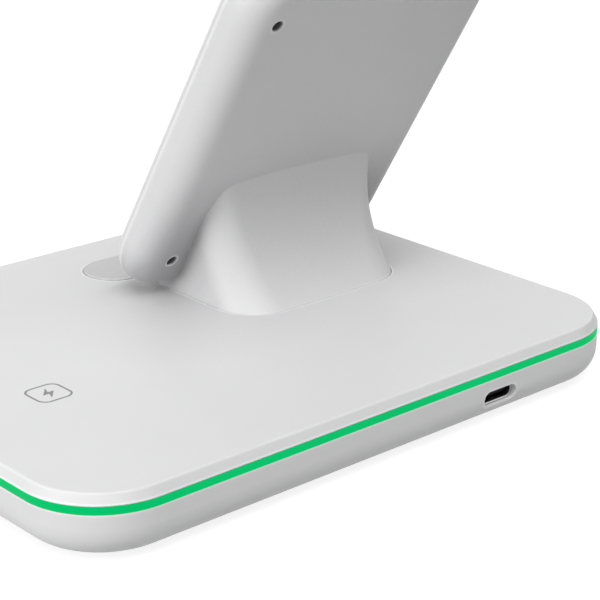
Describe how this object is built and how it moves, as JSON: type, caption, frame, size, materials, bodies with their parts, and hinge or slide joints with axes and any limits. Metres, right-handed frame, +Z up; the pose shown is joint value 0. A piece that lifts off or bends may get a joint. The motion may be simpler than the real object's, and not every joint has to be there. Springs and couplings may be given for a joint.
{
  "type": "three in one wireless charger",
  "caption": "Desk wireless charger: flat base with a lit edge strip, flush earbud and watch spots, and a phone panel that leans back on a hollow neck.",
  "frame": {"origin": "on the table, under the middle of the base", "axes": "+X to the user's right, +Y to the rear, +Z up"},
  "size_m": [0.14, 0.1126, 0.0981],
  "materials": {
    "white_plastic": "fine satin, moulded",
    "light_guide": "smooth, lit from behind",
    "soft_pad": "soft, matt",
    "rubber": "matt",
    "board": "satin",
    "chip": "matt",
    "led": "smooth",
    "inner_plastic": "satin",
    "black_plastic": "satin",
    "socket_steel": "satin",
    "screw_steel": "satin",
    "copper": "wound wire",
    "ferrite": "matt",
    "magnet": "plated",
    "wire_jacket": "matt"
  },
  "bodies": {
    "root": {"base_lower_shell": "white_plastic", "base_top_cover": "white_plastic", "stand_back_shell": "white_plastic", "panel_front_cover": "white_plastic", "light_guide_ring": "light_guide", "rest_pad": "soft_pad", "watch_pad": "soft_pad", "rubber_feet": "rubber", "main_board": "board", "led_flex_board": "board", "board_chips": "chip", "led_chips": "led", "coil_carrier": "inner_plastic", "usb_tongue": "black_plastic", "usb_socket_shell": "socket_steel", "panel_screws": "screw_steel", "base_screws": "screw_steel", "neck_screws": "screw_steel", "board_screws": "screw_steel", "phone_coil": "copper", "earbud_coil": "copper", "watch_coil": "copper", "phone_ferrite": "ferrite", "earbud_ferrite": "ferrite", "watch_ferrite": "ferrite", "watch_magnet": "magnet", "stand_harness": "wire_jacket", "base_leads": "wire_jacket"}
  },
  "joints": []
}
